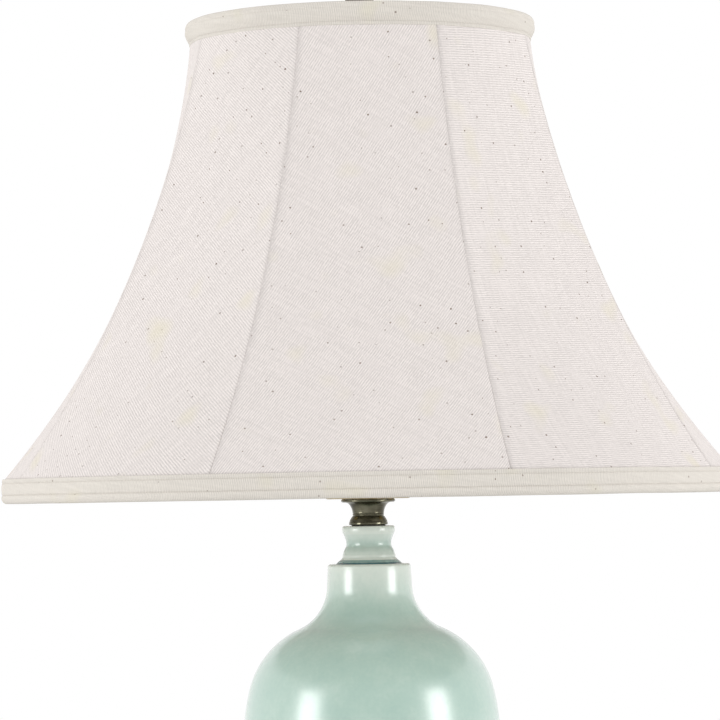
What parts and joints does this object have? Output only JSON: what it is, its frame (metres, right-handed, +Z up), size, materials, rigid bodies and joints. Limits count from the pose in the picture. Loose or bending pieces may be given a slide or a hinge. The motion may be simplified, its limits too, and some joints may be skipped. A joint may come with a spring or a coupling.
{
  "type": "table lamp",
  "caption": "Ginger jar table lamp: glazed celadon jar on a round brass base, brass neck, harp, screw bulb and a panelled bell shade of slubbed cloth with a turned finial.",
  "frame": {"origin": "centre of the felt pad's underside, on the table, on the lamp's upright axis", "axes": "+Z up along the lamp's axis, -Y towards the front where the switch knob points, +Y towards the lead outlet, +X to the viewer's right"},
  "size_m": [0.4571, 0.4572, 0.66],
  "materials": {
    "felt": "brown wool felt",
    "antique_brass": "aged, dark in the recesses",
    "bright_brass": "lacquered",
    "dark_rubber": "matt",
    "black_plastic": "moulded",
    "steel": "zinc plated",
    "aluminium": "satin",
    "celadon_glaze": "glossy celadon glaze, faintly mottled",
    "liner_card": "pressed fibre",
    "frosted_glass": "frosted",
    "white_wire": "white paint",
    "cover_cloth": "off-white slubbed linen weave",
    "lining_cloth": "off-white lining",
    "trim_cloth": "oatmeal bias trim"
  },
  "bodies": {
    "stand": {"felt_pad": "felt", "base": "antique_brass", "base_gasket": "dark_rubber", "outlet_bushing": "black_plastic", "base_washer": "steel", "lock_washer": "steel", "pipe_nut": "steel", "lamp_pipe": "steel", "jar_body": "celadon_glaze", "neck_seat": "dark_rubber", "brass_neck": "antique_brass", "harp_saddle": "bright_brass", "socket_cap": "bright_brass", "socket_set_screw": "steel", "socket_shell": "bright_brass", "socket_liner": "liner_card", "socket_block": "black_plastic", "terminal_screws": "bright_brass", "screw_shell": "aluminium", "centre_contact": "bright_brass", "bulb_contact": "black_plastic", "bulb_cap": "aluminium", "bulb_glass": "frosted_glass"},
    "switch_knob": {"switch_knob": "black_plastic"},
    "harp": {"harp_wire": "bright_brass", "harp_stud": "bright_brass"},
    "sleeve_left": {"harp_sleeve_left": "bright_brass"},
    "sleeve_right": {"harp_sleeve_right": "bright_brass"},
    "shade": {"shade_spider": "white_wire", "shade_lining": "lining_cloth", "shade_top_ring": "white_wire", "shade_bottom_ring": "white_wire", "shade_top_trim": "trim_cloth", "shade_bottom_trim": "trim_cloth", "shade_rib_1": "white_wire", "shade_rib_2": "white_wire", "shade_rib_3": "white_wire", "shade_rib_4": "white_wire", "shade_rib_5": "white_wire", "shade_rib_6": "white_wire", "shade_rib_7": "white_wire", "shade_rib_8": "white_wire", "shade_panel_1": "cover_cloth", "shade_panel_2": "cover_cloth", "shade_panel_3": "cover_cloth", "shade_panel_4": "cover_cloth", "shade_panel_5": "cover_cloth", "shade_panel_6": "cover_cloth", "shade_panel_7": "cover_cloth", "shade_panel_8": "cover_cloth"},
    "finial": {"finial": "antique_brass"}
  },
  "joints": [
    {"name": "switch_turn", "type": "hinge", "parent": "stand", "child": "switch_knob", "pos_m": [0, -0.0165, 0.3569], "axis": [0, -1, 0], "continuous": true},
    {"name": "harp_lift", "type": "slide", "parent": "stand", "child": "harp", "axis": [0, 0, 1], "range_m": [0, 0.03]},
    {"name": "sleeve_left_slide", "type": "slide", "parent": "harp", "child": "sleeve_left", "axis": [0, 0, 1], "range_m": [0, 0.012]},
    {"name": "sleeve_right_slide", "type": "slide", "parent": "harp", "child": "sleeve_right", "axis": [0, 0, 1], "range_m": [0, 0.012]},
    {"name": "shade_turn", "type": "hinge", "parent": "harp", "child": "shade", "pos_m": [0, 0, 0.5992], "axis": [0, 0, 1], "continuous": true},
    {"name": "finial_spin", "type": "hinge", "parent": "harp", "child": "finial", "pos_m": [0, 0, 0.606], "axis": [0, 0, 1], "continuous": true}
  ]
}
